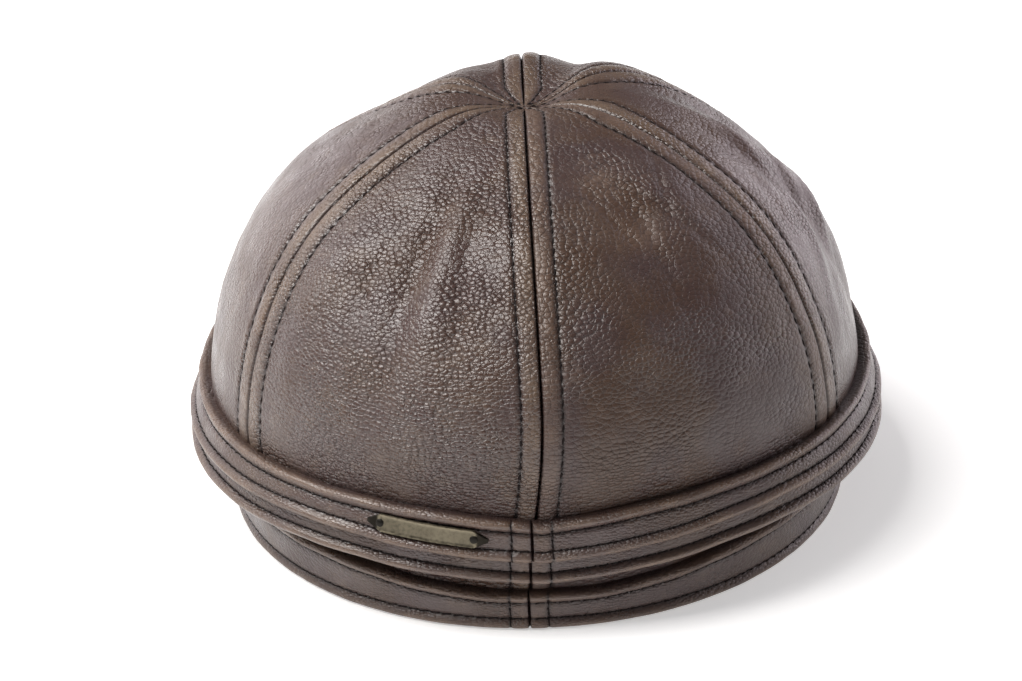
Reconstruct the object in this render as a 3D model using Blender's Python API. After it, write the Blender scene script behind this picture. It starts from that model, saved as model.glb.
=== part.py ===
"""Leather cap: a six-panel crown, a rim band, turned-up ear flaps in two shingled strips, a plate and a peak.

Metres, +Z up. The back of the head is toward +Y, the peak toward -Y and the wearer's left toward +X.
Azimuths run round the head from the back centre toward the wearer's left. The origin is on the floor,
under the middle of the whole cap.
"""

from collections import namedtuple
import math

import bpy
import numpy as np

# Head opening and crown
HEAD_WIDTH = 0.173
HEAD_LENGTH = 0.188
CROWN_HEIGHT = 0.123
LEATHER = 0.0012
GAP = 0.0003
APEX_SINK = 0.0080
APEX_SPREAD = 0.0185
RIM_STEP = 0.0010
FRONT_LIFT = 0.012
LIFT_FADE = 0.060

# Crown seams
SEAM_MARGIN = 0.0053
SEAM_SINK = 0.0010
SEAM_PUFF = 0.00025
MARGIN_OF_TIP = 0.30
DRIFT_HEIGHT = 0.068

# Strips of the rim band and of the two flaps
HEM = 0.0033
RIM_BAND_HEIGHT = 0.0115
LOWER_FLAP_FOOT = 0.0165
LOWER_FLAP_TOP = 0.0255
UPPER_FLAP_FOOT = 0.0235
UPPER_FLAP_TOP = 0.0357
FLAP_FLARE = 0.0080
FLAP_SLACK = 0.0008
FLAP_END = 124.0
FLAP_END_ROUND = 0.0065
FLAP_END_HEIGHT_SHARE = 0.35
TUCK_CLEARANCE = 0.00045

# Metal plate on the upper flap
PLATE_LENGTH = 0.0330
PLATE_HEIGHT = 0.0051
PLATE_THICKNESS = 0.0008
PLATE_POINT = 0.0040
PLATE_TIP_HEIGHT = 0.0010
PLATE_AZIMUTH = 18.7
RIVET_RADIUS = 0.0011
RIVET_HEIGHT = 0.0005
RIVET_SPREAD = 0.0127

# Peak
PEAK_REACH = 0.047
PEAK_CORNER = 0.0035
PEAK_THICKNESS = 0.003
PEAK_EDGE_THICKNESS = 0.00135
PEAK_HALF_ANGLE = 54.0
PEAK_SEAT = 0.0012
PEAK_SLOPE = 0.35
PEAK_ROUNDNESS = 0.6

HALF_WIDTH = HEAD_WIDTH / 2 + LEATHER
HALF_LENGTH = HEAD_LENGTH / 2 + LEATHER
WALL = 2 * LEATHER

# Crown's outline: height as a share of CROWN_HEIGHT, reach as shares of HALF_WIDTH and HALF_LENGTH
Section = namedtuple("Section", "height width length")
CROWN_SECTIONS = (
    Section(0.000, 1.000, 1.000),
    Section(0.100, 1.020, 1.010),
    Section(0.200, 1.052, 1.027),
    Section(0.290, 1.088, 1.044),
    Section(0.410, 1.070, 1.074),
    Section(0.560, 1.004, 1.025),
    Section(0.680, 0.911, 0.919),
    Section(0.770, 0.796, 0.792),
    Section(0.845, 0.644, 0.641),
    Section(0.945, 0.324, 0.330),
    Section(0.986, 0.120, 0.122),
    Section(1.000, 0.021, 0.020),
)

# Panel edge at a seam: distance as a share of SEAM_MARGIN, sink as a share of SEAM_SINK, puff of SEAM_PUFF
SeamEdge = namedtuple("SeamEdge", "distance sink puff layers")
SEAM_EDGES = (
    SeamEdge(0.00, 1.00, 0.0, 2),
    SeamEdge(0.22, 0.30, 0.0, 2),
    SeamEdge(0.55, 0.00, 1.0, 2),
    SeamEdge(1.00, 0.35, 0.0, 2),
    SeamEdge(1.35, 0.00, 0.0, 1),
)

# Strip edge: distance as a share of HEM, thickness as a share of WALL
StripEdge = namedtuple("StripEdge", "distance thickness")
STRIP_EDGES = (
    StripEdge(0.00, 0.45),
    StripEdge(0.30, 0.98),
    StripEdge(0.62, 1.10),
    StripEdge(1.00, 0.72),
)
PLAIN_THICKNESS = 0.72

# Where the flaps stand off the crown: foot and top as shares of FLAP_FLARE, the lower flap's step out as a share
# of WALL, the flaps' rise and their feet's own rise as shares of the upper one's height, and the rim band's rise as
# a share of its height
Stand = namedtuple("Stand", "azimuth upper_foot upper_top lower_step rise foot_rise rim_rise")
STANDS = (
    Stand(0.0, 0.00, 0.00, -0.50, -0.16, 0.06, 0.00),
    Stand(8.0, 0.08, 0.02, -0.50, -0.04, 0.04, 0.00),
    Stand(18.0, 0.22, 0.03, -0.40, 0.07, 0.05, 0.08),
    Stand(35.0, 0.44, 0.02, -0.25, 0.14, 0.18, 0.28),
    Stand(60.0, 0.60, 0.00, -0.05, 0.13, 0.16, 0.40),
    Stand(90.0, 0.64, 0.00, 0.10, 0.32, 0.00, 0.45),
    Stand(108.0, 0.57, 0.00, 0.08, 0.62, -0.10, 0.45),
    Stand(124.0, 0.44, 0.00, 0.05, 0.85, -0.12, 0.45),
)

# Dents in the crown: azimuth and turn in degrees, across and along as shares of CROWN_HEIGHT, depth of APEX_SINK
Fold = namedtuple("Fold", "azimuth climb across along depth turn")
FOLDS = (
    Fold(29.0, 0.55, 0.10, 0.32, 0.22, 4.0),
    Fold(10.0, 0.62, 0.05, 0.25, 0.12, 0.0),
    Fold(48.0, 0.45, 0.06, 0.25, -0.12, 6.0),
    Fold(140.0, 0.74, 0.20, 0.20, 0.26, 0.0),
    Fold(162.0, 0.86, 0.06, 0.14, 0.24, 12.0),
    Fold(180.0, 0.80, 0.34, 0.20, -0.56, 0.0),
    Fold(205.0, 0.82, 0.07, 0.22, 0.44, -6.0),
    Fold(245.0, 0.74, 0.26, 0.16, -0.24, 0.0),
    Fold(258.0, 0.52, 0.055, 0.38, 0.24, 0.0),
    Fold(268.0, 0.50, 0.050, 0.38, -0.18, 0.0),
    Fold(277.0, 0.50, 0.050, 0.34, 0.22, 0.0),
    Fold(334.0, 0.60, 0.11, 0.26, 0.22, -6.0),
    Fold(318.0, 0.66, 0.07, 0.16, -0.14, 14.0),
)

# Rivet head: reach as a share of RIVET_RADIUS and height of RIVET_HEIGHT
RivetRing = namedtuple("RivetRing", "reach height")
RIVET_RINGS = (
    RivetRing(1.0, 0.0),
    RivetRing(1.0, 0.4),
    RivetRing(0.6, 1.0),
)

# Sampling
PANEL_ROWS = 18
PANEL_MIDDLE_COLUMNS = 3
FLAP_COLUMNS = 22
RIM_COLUMNS = 30
PEAK_ROWS = 6
PEAK_COLUMNS = 17
PEAK_ROW_CROWDING = 0.8
PLATE_MIDDLE_COLUMNS = 7
RIVET_SIDES = 10
SHARP_ANGLE = 50.0

# A seam's azimuth at the apex, how far it wanders at mid-height and how far it drifts at the rim, in degrees
Seam = namedtuple("Seam", "azimuth bow drift")
BACK = Seam(0, -0.6, 2.9)
REAR_LEFT = Seam(60, -1.5, -2.5)
FORE_LEFT = Seam(120, 0, 0)
FRONT = Seam(180, 0, 0)
FORE_RIGHT = Seam(240, 0, 0)
REAR_RIGHT = Seam(300, 1.5, 2.5)
BACK_AGAIN = Seam(360, BACK.bow, BACK.drift)
PANELS = {
    "crown_back_left": (BACK, REAR_LEFT),
    "crown_side_left": (REAR_LEFT, FORE_LEFT),
    "crown_front_left": (FORE_LEFT, FRONT),
    "crown_front_right": (FRONT, FORE_RIGHT),
    "crown_side_right": (FORE_RIGHT, REAR_RIGHT),
    "crown_back_right": (REAR_RIGHT, BACK_AGAIN),
}


def clear_scene():
    for obj in list(bpy.data.objects):
        bpy.data.objects.remove(obj, do_unlink=True)


def material(name, color, roughness, metallic=0.0):
    made = bpy.data.materials.new(name)
    made.use_nodes = True
    shader = made.node_tree.nodes["Principled BSDF"]
    shader.inputs["Base Color"].default_value = (*color, 1.0)
    shader.inputs["Roughness"].default_value = roughness
    shader.inputs["Metallic"].default_value = metallic
    made.diffuse_color = (*color, 1.0)
    return made


def smooth_step(share):
    share = np.clip(share, 0.0, 1.0)
    return share * share * (3 - 2 * share)


def through(knots, values, at):
    """Cubic curve through values at knots, with each knot's slope taken from its neighbours."""
    knots, values = np.asarray(knots, float), np.asarray(values, float)
    slopes = np.gradient(values, knots)
    at = np.clip(at, knots[0], knots[-1])
    low = np.clip(np.searchsorted(knots, at, side="right") - 1, 0, len(knots) - 2)
    width = knots[low + 1] - knots[low]
    t = (at - knots[low]) / width
    return (
        (1 + 2 * t) * (1 - t) ** 2 * values[low]
        + t * (1 - t) ** 2 * width * slopes[low]
        + t**2 * (3 - 2 * t) * values[low + 1]
        + t**2 * (t - 1) * width * slopes[low + 1]
    )


def column(table, name):
    return np.array([getattr(row, name) for row in table], float)


CLIMB_STEPS = np.hypot(
    np.diff(column(CROWN_SECTIONS, "width")) * HALF_WIDTH,
    np.diff(column(CROWN_SECTIONS, "height")) * CROWN_HEIGHT,
)
CLIMB_LENGTH = CLIMB_STEPS.sum()
CLIMB_KNOTS = np.concatenate([[0.0], np.cumsum(CLIMB_STEPS)]) / CLIMB_LENGTH

# Dents grow from nothing beside the flaps to their full depth above them
NO_DENTS_BELOW = CLIMB_KNOTS[3]
FULL_DENTS_ABOVE = CLIMB_KNOTS[5]


def section(name, climb):
    """A column of the crown's sections at climb, 0 at the rim to 1 at the apex."""
    return through(CLIMB_KNOTS, column(CROWN_SECTIONS, name), climb)


def turn_from_back(azimuth):
    """Degrees from the back centre, 0 to 180, on either side."""
    return np.degrees(np.abs(np.angle(np.exp(1j * azimuth))))


def lifted(azimuth, height):
    """Height above the floor, with the rim's front raised to where the peak springs from."""
    share = smooth_step((turn_from_back(azimuth) - FLAP_END) / (180 - FLAP_END))
    fade = np.clip(1 - height / LIFT_FADE, 0, 1) ** 2
    return height + FRONT_LIFT * share * fade


def seam_azimuth(seam, height):
    drift = seam.drift * smooth_step((DRIFT_HEIGHT - height) / DRIFT_HEIGHT)
    bow = seam.bow * np.sin(math.pi * np.clip(height / CROWN_HEIGHT, 0, 1))
    return np.radians(seam.azimuth + bow + drift)


def arc_per_radian(azimuth, climb):
    return np.hypot(
        HALF_WIDTH * section("width", climb) * np.cos(azimuth),
        HALF_LENGTH * section("length", climb) * np.sin(azimuth),
    )


def smooth_crown(azimuth, climb):
    """The crown's outer face with its sunken apex, before dents and seams."""
    x = HALF_WIDTH * section("width", climb) * np.sin(azimuth)
    y = HALF_LENGTH * section("length", climb) * np.cos(azimuth)
    z = lifted(azimuth, RIM_STEP + (CROWN_HEIGHT - RIM_STEP) * section("height", climb))
    z = z - APEX_SINK * np.exp(-((np.hypot(x, y) / APEX_SPREAD) ** 2))
    return np.stack([x, y, z], -1)


def outward(surface, first, second, step=1e-3):
    """Unit normals of a surface of two parameters, from differences."""
    across = surface(first + step, second) - surface(first - step, second)
    along = surface(first, second + step) - surface(first, second - step)
    normal = np.cross(along, across)
    return normal / np.linalg.norm(normal, axis=-1, keepdims=True)


def dent_depth(azimuth, climb):
    depth = np.zeros(np.broadcast(azimuth, climb).shape)
    for fold in FOLDS:
        away = np.angle(np.exp(1j * (azimuth - math.radians(fold.azimuth))))
        side = away * arc_per_radian(azimuth, climb)
        rise = (climb - fold.climb) * CLIMB_LENGTH
        cos, sin = math.cos(math.radians(fold.turn)), math.sin(math.radians(fold.turn))
        u = (cos * side + sin * rise) / (fold.across * CROWN_HEIGHT)
        v = (cos * rise - sin * side) / (fold.along * CROWN_HEIGHT)
        depth = depth + fold.depth * APEX_SINK * np.exp(-(u**2) - v**2)
    return depth * smooth_step((climb - NO_DENTS_BELOW) / (FULL_DENTS_ABOVE - NO_DENTS_BELOW))


def shell(name, outer, inner, finish):
    """One closed body between two grids of points. Rows run up and columns toward growing azimuth."""
    rows, columns = outer.shape[:2]
    count = rows * columns

    def at(row, col, side):
        return side * count + row * columns + col

    faces = []
    for row in range(rows - 1):
        for col in range(columns - 1):
            quad = [(row, col), (row + 1, col), (row + 1, col + 1), (row, col + 1)]
            faces.append([at(r, c, 0) for r, c in quad])
            faces.append([at(r, c, 1) for r, c in reversed(quad)])
    edge = [(0, c) for c in range(columns)] + [(r, columns - 1) for r in range(1, rows)]
    edge += [(rows - 1, c) for c in range(columns - 2, -1, -1)] + [(r, 0) for r in range(rows - 2, 0, -1)]
    for here, there in zip(edge, edge[1:] + edge[:1]):
        faces.append([at(*here, 0), at(*there, 0), at(*there, 1), at(*here, 1)])

    mesh = bpy.data.meshes.new(name)
    points = np.concatenate([outer.reshape(-1, 3), inner.reshape(-1, 3)])
    mesh.from_pydata(points.tolist(), [], faces)
    mesh.materials.append(finish)
    mesh.validate()
    mesh.shade_smooth()
    mesh.set_sharp_from_angle(angle=math.radians(SHARP_ANGLE))
    obj = bpy.data.objects.new(name, mesh)
    bpy.context.scene.collection.objects.link(obj)
    return obj


def crown_panel(name, start, end, finish):
    """One gore of the crown, its turned seam allowances making the wall double beside each seam."""
    climb = np.linspace(0, 1, PANEL_ROWS)[:, None]
    height = CROWN_HEIGHT * section("height", climb)
    first, last = seam_azimuth(start, height), seam_azimuth(end, height)
    middle = (first + last) / 2
    row_width = (last - first) * arc_per_radian(middle, climb)
    margin = np.minimum(SEAM_MARGIN, MARGIN_OF_TIP * row_width)

    distance = column(SEAM_EDGES, "distance")[None] * margin + GAP / 2
    from_first = first + distance / arc_per_radian(first, climb)
    from_last = last - distance[:, ::-1] / arc_per_radian(last, climb)
    shares = np.linspace(0, 1, PANEL_MIDDLE_COLUMNS + 2)[None, 1:-1]
    between = from_first[:, -1:] + (from_last[:, :1] - from_first[:, -1:]) * shares
    azimuth = np.concatenate([from_first, between, from_last], axis=1)

    def across(name, between_value):
        edge = column(SEAM_EDGES, name)
        return np.concatenate([edge, np.full(PANEL_MIDDLE_COLUMNS, between_value), edge[::-1]])[None]

    shrink = margin / SEAM_MARGIN
    climbs = climb + 0 * azimuth
    face = smooth_crown(azimuth, climbs)
    normal = outward(smooth_crown, azimuth, climbs)
    face = face - normal * dent_depth(azimuth, climbs)[..., None]
    sink = (across("sink", 0) * SEAM_SINK - across("puff", 0) * SEAM_PUFF) * shrink
    outer = face - normal * sink[..., None]
    inner = face - normal * (across("layers", 1) * LEATHER + 0 * shrink)[..., None]
    return shell(name, outer, inner, finish)


def crown_bulge(azimuth, height):
    """The offset past the rim's outline that clears the crown, at a height up to its widest place."""
    heights = RIM_STEP + (CROWN_HEIGHT - RIM_STEP) * column(CROWN_SECTIONS, "height")
    wide = through(heights, (column(CROWN_SECTIONS, "width") - 1) * HALF_WIDTH, height)
    long = through(heights, (column(CROWN_SECTIONS, "length") - 1) * HALF_LENGTH, height)
    return wide * np.sin(azimuth) ** 2 + long * np.cos(azimuth) ** 2 + SEAM_PUFF + GAP


def stand(name, azimuth):
    return through(column(STANDS, "azimuth"), column(STANDS, name), turn_from_back(azimuth))


# A strip's inner face, as a straight line in each section: offsets past the rim's outline, and heights
Line = namedtuple("Line", "foot foot_height top top_height")


def rim_band_line(azimuth):
    top = RIM_BAND_HEIGHT * (1 + stand("rim_rise", azimuth))
    return Line(crown_bulge(azimuth, 0.0), 0 * azimuth, crown_bulge(azimuth, top), top)


def upper_flap_line(azimuth):
    rise = stand("rise", azimuth) * (UPPER_FLAP_TOP - UPPER_FLAP_FOOT)
    foot_rise = rise + stand("foot_rise", azimuth) * (UPPER_FLAP_TOP - UPPER_FLAP_FOOT)
    stack = crown_bulge(azimuth, UPPER_FLAP_FOOT) + WALL * PLAIN_THICKNESS + GAP + FLAP_SLACK
    return Line(
        stack + stand("upper_foot", azimuth) * FLAP_FLARE,
        UPPER_FLAP_FOOT + foot_rise,
        crown_bulge(azimuth, UPPER_FLAP_TOP + rise) + stand("upper_top", azimuth) * FLAP_FLARE,
        UPPER_FLAP_TOP + rise,
    )


def lower_flap_line(azimuth):
    """The lower flap's top tucks up behind the upper flap's foot."""
    upper = upper_flap_line(azimuth)
    rise = upper.foot_height - UPPER_FLAP_FOOT
    slope = (upper.top - upper.foot) / (upper.top_height - upper.foot_height)
    overlap = LOWER_FLAP_TOP - UPPER_FLAP_FOOT
    slant = np.hypot(1.0, slope)
    behind = upper.foot + slope * overlap - TUCK_CLEARANCE - WALL * PLAIN_THICKNESS * slant
    return Line(
        upper.foot + stand("lower_step", azimuth) * WALL,
        LOWER_FLAP_FOOT + rise,
        behind,
        LOWER_FLAP_TOP + rise,
    )


def strip_point(line, azimuth, length_share, depth):
    """A point at a share of a strip's height from its foot, and depth out from its inner face."""
    run, climb = line.top - line.foot, line.top_height - line.foot_height
    size = np.hypot(run, climb)
    offset = line.foot + run * length_share + depth * climb / size
    height = line.foot_height + climb * length_share - depth * run / size
    x = (HALF_WIDTH + offset) * np.sin(azimuth)
    y = (HALF_LENGTH + offset) * np.cos(azimuth)
    return np.stack([x, y, lifted(azimuth, height)], -1)


def strip(
    name, line_of, start, end_azimuth, columns, side, finish, top_hem=True, end_round=0.0, flat_foot=False
):
    """A folded strip of leather from the back seam round to end_azimuth, hemmed along its edges.

    side is 1 on the wearer's left and -1 on the right. Near the back seam the strip's face turns in.
    A flat foot is level, for the strip that the cap rests on.
    """
    distances = column(STRIP_EDGES, "distance") * HEM
    thickness = column(STRIP_EDGES, "thickness") * WALL
    top_thickness = thickness[::-1] if top_hem else np.full(len(thickness), PLAIN_THICKNESS * WALL)

    # Columns crowd toward the back seam, where the edge rolls in and is stitched down
    near_seam = column(SEAM_EDGES, "distance") * SEAM_MARGIN + GAP / 2
    middle_height = line_of(np.zeros(1)).foot_height[0]
    first = math.degrees(seam_azimuth(start, middle_height)) * side
    near = first + np.degrees(near_seam / HALF_LENGTH)
    spread = np.linspace(0, 1, columns - len(near) + 1)[1:]
    away = np.concatenate([near, near[-1] + (end_azimuth - near[-1]) * spread])
    sink = np.zeros(len(away))
    sink[: len(near)] = column(SEAM_EDGES, "sink") * SEAM_SINK

    azimuth = np.radians(away)[None] * side
    line = line_of(azimuth)
    size = np.hypot(line.top - line.foot, line.top_height - line.foot_height)
    along = np.concatenate([distances[:, None] / size, 1 - distances[::-1, None] / size])

    # The free end is rounded by letting the strip's height shrink along a circle
    if end_round:
        left = np.radians(end_azimuth - away) * HALF_LENGTH
        inside = np.clip(1 - left / end_round, 0, 1)
        circle = np.sqrt(np.clip(1 - inside**2, 0, 1))
        keep = FLAP_END_HEIGHT_SHARE + (1 - FLAP_END_HEIGHT_SHARE) * circle
        along = 0.5 + (along - 0.5) * keep[None]
    depth = np.concatenate([thickness, top_thickness])[:, None] - sink[None]
    azimuths = azimuth + 0 * along
    outer = strip_point(line, azimuths, along, depth)
    inner = strip_point(line, azimuths, along, 0 * depth)
    if flat_foot:
        outer[0, :, 2] = inner[0, :, 2]
    if side < 0:
        outer, inner = outer[:, ::-1], inner[:, ::-1]
    return shell(name, outer, inner, finish)


def plate_surface(along, up):
    """The upper flap's face where the plate lies: metres along it from the plate's middle, and up it."""
    azimuth = math.radians(PLATE_AZIMUTH) + along / HALF_LENGTH
    line = upper_flap_line(azimuth)
    size = np.hypot(line.top - line.foot, line.top_height - line.foot_height)
    return strip_point(line, azimuth, 0.5 + up / size, WALL * PLAIN_THICKNESS + 0 * along)


def plate(finish):
    """A thin curved plate with pointed ends, lying in the flat between the flap's two hems."""
    ends = PLATE_LENGTH / 2
    straight = np.linspace(-ends + PLATE_POINT, ends - PLATE_POINT, PLATE_MIDDLE_COLUMNS)
    along = np.concatenate([[-ends, -ends + PLATE_POINT / 2], straight, [ends - PLATE_POINT / 2, ends]])
    half = np.interp(np.abs(along), [ends - PLATE_POINT, ends], [PLATE_HEIGHT / 2, PLATE_TIP_HEIGHT / 2])
    up = np.array([-1.0, 0.0, 1.0])[:, None] * half[None]
    along = along[None] + 0 * up
    face = plate_surface(along, up)
    normal = outward(plate_surface, along, up, step=1e-4)
    return shell("plate", face + normal * (GAP + PLATE_THICKNESS), face + normal * GAP, finish)


def rivet(name, along, finish):
    """A low round head on the plate."""
    place, up = np.array([along]), np.array([0.0])
    middle = plate_surface(place, up)[0]
    normal = outward(plate_surface, place, up, step=1e-4)[0]
    side = np.cross(normal, (0, 0, 1))
    side = side / np.linalg.norm(side)
    rise = np.cross(side, normal)
    angles = np.linspace(0, 2 * math.pi, RIVET_SIDES, endpoint=False)
    base = middle + normal * (2 * GAP + PLATE_THICKNESS)
    points = []
    for reach, height in RIVET_RINGS:
        for angle in angles:
            spoke = side * math.cos(angle) + rise * math.sin(angle)
            points.append(base + spoke * reach * RIVET_RADIUS + normal * height * RIVET_HEIGHT)
    faces = [list(range(RIVET_SIDES)), list(range(2 * RIVET_SIDES, 3 * RIVET_SIDES))[::-1]]
    for ring in range(len(RIVET_RINGS) - 1):
        for here in range(RIVET_SIDES):
            there = (here + 1) % RIVET_SIDES
            low, high = ring * RIVET_SIDES, (ring + 1) * RIVET_SIDES
            faces.append([low + there, low + here, high + here, high + there])
    mesh = bpy.data.meshes.new(name)
    mesh.from_pydata([tuple(p) for p in points], [], faces)
    mesh.materials.append(finish)
    mesh.shade_smooth()
    mesh.set_sharp_from_angle(angle=math.radians(SHARP_ANGLE))
    obj = bpy.data.objects.new(name, mesh)
    bpy.context.scene.collection.objects.link(obj)
    return obj


def peak(finish):
    """A short curved peak that springs from the rim band's front and slopes down a little."""
    turn = np.radians(np.linspace(-PEAK_HALF_ANGLE, PEAK_HALF_ANGLE, PEAK_COLUMNS))[None]
    out = np.linspace(0, 1, PEAK_ROWS)[:, None] ** PEAK_ROW_CROWDING
    azimuth = math.pi + turn + 0 * out
    band = rim_band_line(azimuth)
    slope = (band.top - band.foot) / (band.top_height - band.foot_height)
    roll = WALL * max(column(STRIP_EDGES, "thickness")) * np.hypot(1.0, slope)
    root = band.foot + slope * (PEAK_SEAT + PEAK_THICKNESS) + roll + GAP
    fullness = np.cos(turn / math.radians(PEAK_HALF_ANGLE) * math.pi / 2)
    reach = PEAK_CORNER + (PEAK_REACH - PEAK_CORNER) * np.clip(fullness, 0, 1) ** PEAK_ROUNDNESS
    offset = root + out * reach
    low = (lifted(azimuth, 0.0) + PEAK_SEAT) * (1 - PEAK_SLOPE * out)
    thin = np.where(out < 1, PEAK_THICKNESS, PEAK_EDGE_THICKNESS)
    slack = (PEAK_THICKNESS - thin) / 2
    x, y = (HALF_WIDTH + offset) * np.sin(azimuth), (HALF_LENGTH + offset) * np.cos(azimuth)
    under = np.stack([x, y, low + slack], -1)
    over = np.stack([x, y, low + slack + thin], -1)
    return shell("peak", over[::-1], under[::-1], finish)


def centre_on_floor(objects):
    """Moves every point so that the whole cap's box stands centred on the origin."""
    points = np.array([corner.co for obj in objects for corner in obj.data.vertices])
    low, high = points.min(axis=0), points.max(axis=0)
    middle = ((low[0] + high[0]) / 2, (low[1] + high[1]) / 2, low[2])
    for obj in objects:
        for corner in obj.data.vertices:
            corner.co = [value - shift for value, shift in zip(corner.co, middle)]


def build():
    clear_scene()
    panel_leather = material("panel_leather", (0.085, 0.066, 0.056), 0.50)
    strip_leather = material("strip_leather", (0.120, 0.090, 0.075), 0.52)
    brass = material("antique_brass", (0.30, 0.26, 0.16), 0.42, 0.9)
    dark_metal = material("dark_metal", (0.03, 0.028, 0.024), 0.5, 0.7)

    made = [crown_panel(name, *seams, panel_leather) for name, seams in PANELS.items()]
    for side, word in ((1, "left"), (-1, "right")):
        common = {"start": BACK, "side": side, "finish": strip_leather}
        flap = {"end_azimuth": FLAP_END, "columns": FLAP_COLUMNS, "end_round": FLAP_END_ROUND}
        made.append(strip("flap_upper_" + word, upper_flap_line, **common, **flap))
        made.append(strip("flap_lower_" + word, lower_flap_line, top_hem=False, **common, **flap))
        rim = {"end_azimuth": 180 - math.degrees(GAP / 2 / HALF_WIDTH), "columns": RIM_COLUMNS}
        made.append(strip("rim_band_" + word, rim_band_line, flat_foot=True, **common, **rim))
    made.append(plate(brass))
    made.append(rivet("plate_rivet_left", RIVET_SPREAD, dark_metal))
    made.append(rivet("plate_rivet_right", -RIVET_SPREAD, dark_metal))
    made.append(peak(panel_leather))
    centre_on_floor(made)


build()
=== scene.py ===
"""Leather cap, dressed: fine crown panels, rolled and stitched strips, plate, peak, light and camera.

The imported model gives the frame. The shapes come from the same named sizes and tables as its source:
metres, +Z up, the back of the head toward +Y, the wearer's left toward +X, azimuths from the back centre.
"""

from collections import namedtuple
import math

import bpy
from mathutils import Matrix, Vector, noise
import numpy as np


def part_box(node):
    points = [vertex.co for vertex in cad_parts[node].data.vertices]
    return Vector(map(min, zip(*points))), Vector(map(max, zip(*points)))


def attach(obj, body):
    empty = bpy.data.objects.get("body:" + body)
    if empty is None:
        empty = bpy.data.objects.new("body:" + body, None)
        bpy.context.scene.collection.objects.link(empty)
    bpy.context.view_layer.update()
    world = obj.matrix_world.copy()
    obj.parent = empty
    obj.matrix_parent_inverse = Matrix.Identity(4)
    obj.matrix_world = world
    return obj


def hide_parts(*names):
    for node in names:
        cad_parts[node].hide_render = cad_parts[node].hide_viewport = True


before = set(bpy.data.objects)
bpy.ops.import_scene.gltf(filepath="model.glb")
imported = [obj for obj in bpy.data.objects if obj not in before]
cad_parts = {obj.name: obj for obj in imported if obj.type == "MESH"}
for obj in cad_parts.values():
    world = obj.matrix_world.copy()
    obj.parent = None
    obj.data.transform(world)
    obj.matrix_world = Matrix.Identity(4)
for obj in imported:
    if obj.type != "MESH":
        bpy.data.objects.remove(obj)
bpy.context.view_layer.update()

# Head opening and crown
HEAD_WIDTH = 0.173
HEAD_LENGTH = 0.188
CROWN_HEIGHT = 0.123
LEATHER = 0.0012
GAP = 0.0003
APEX_SINK = 0.0080
APEX_SPREAD = 0.0185
RIM_STEP = 0.0010
FRONT_LIFT = 0.012
LIFT_FADE = 0.060

# Crown seams
SEAM_MARGIN = 0.0053
SEAM_PUFF = 0.00025
SIDE_SEAM_MARGIN = 0.0068
MARGIN_OF_TIP = 0.23
CENTRE_OF_TIP = 0.40
SLIT_OF_TIP = 0.05
LAYERED_MARGIN = 1.2
DRIFT_HEIGHT = 0.068

# Strips of the rim band and of the two flaps
HEM = 0.0033
RIM_BAND_HEIGHT = 0.0115
LOWER_FLAP_FOOT = 0.0165
LOWER_FLAP_TOP = 0.0255
UPPER_FLAP_FOOT = 0.0235
UPPER_FLAP_TOP = 0.0357
FLAP_FLARE = 0.0080
FLAP_SLACK = 0.0008
FLAP_END = 124.0
FLAP_END_ROUND = 0.0065
FLAP_END_HEIGHT_SHARE = 0.35
TUCK_CLEARANCE = 0.00045
PLAIN_THICKNESS = 0.72

# Metal plate on the upper flap
PLATE_LENGTH = 0.0330
PLATE_HEIGHT = 0.0051
PLATE_THICKNESS = 0.0008
PLATE_POINT = 0.0040
PLATE_TIP_HEIGHT = 0.0010
PLATE_AZIMUTH = 18.7
PLATE_BORDER = 0.00045
PLATE_RELIEF = 0.00022
PLATE_EDGE_ROUND = 0.00025
PLATE_EDGE_SHARE = 0.4
PLATE_FIELD_WEAR = 0.72
PLATE_DARK_TIP = 0.85
PLATE_DARK_FADE = 0.15
RIVET_RADIUS = 0.0011
RIVET_HEIGHT = 0.0005
RIVET_SPREAD = 0.0127
RIVET_RIM_SHARE = 0.25

# Peak
PEAK_REACH = 0.047
PEAK_CORNER = 0.0035
PEAK_THICKNESS = 0.003
PEAK_HALF_ANGLE = 54.0
PEAK_SEAT = 0.0012
PEAK_SLOPE = 0.35
PEAK_ROUNDNESS = 0.6
PEAK_STITCH = 0.0045
PEAK_EDGE_ROLL = 0.0022
PEAK_EDGE_SHARE = 0.35
PEAK_GROOVE = 0.00025
PEAK_GROOVE_WIDTH = 0.0007
PEAK_ROW_CROWDING = 1.7
PEAK_WAVE_FADE = 0.004
PEAK_WEAR_PLACE = 0.001
PEAK_WEAR_REACH = 0.0012
# Reach of the painted shade along the peak's stitch line
PEAK_SHADE_REACH = 0.0006
PEAK_SEWN_REACH = 2.2 * PEAK_STITCH

# Stitches
STITCH_PITCH = 0.0033
STITCH_LENGTH = 0.0026
THREAD_RADIUS = 0.00030
STITCH_DIP = 0.00030
STITCH_SLANT = 0.12
STITCH_PROUD = 0.4
STITCH_END = 0.55
STITCH_RINGS = 6
STITCH_SIDES = 6

# Relief of the leather. The puckers' reach is a share of a seam's margin or of a hem
SEAM_RELIEF_HEIGHT = 0.0011
STRIP_RIDGE_SHARE = 0.4
STRIP_SEAM_WEAR = 0.7
PUCKER = 0.00012
SEAM_PUCKER_REACH = 0.16
HEM_PUCKER_REACH = 0.22
HEM_ROLL_MIDDLE = 0.45
HEM_ROLL_REACH = 0.35
EDGE_WAVE_REACH = 0.5
THINNEST_SHARE = 0.15
TOP_REACH = 0.0008
SEAM_WAVE_SHARE = 0.35
WAVES_FROM_CLIMB = 0.2

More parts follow.
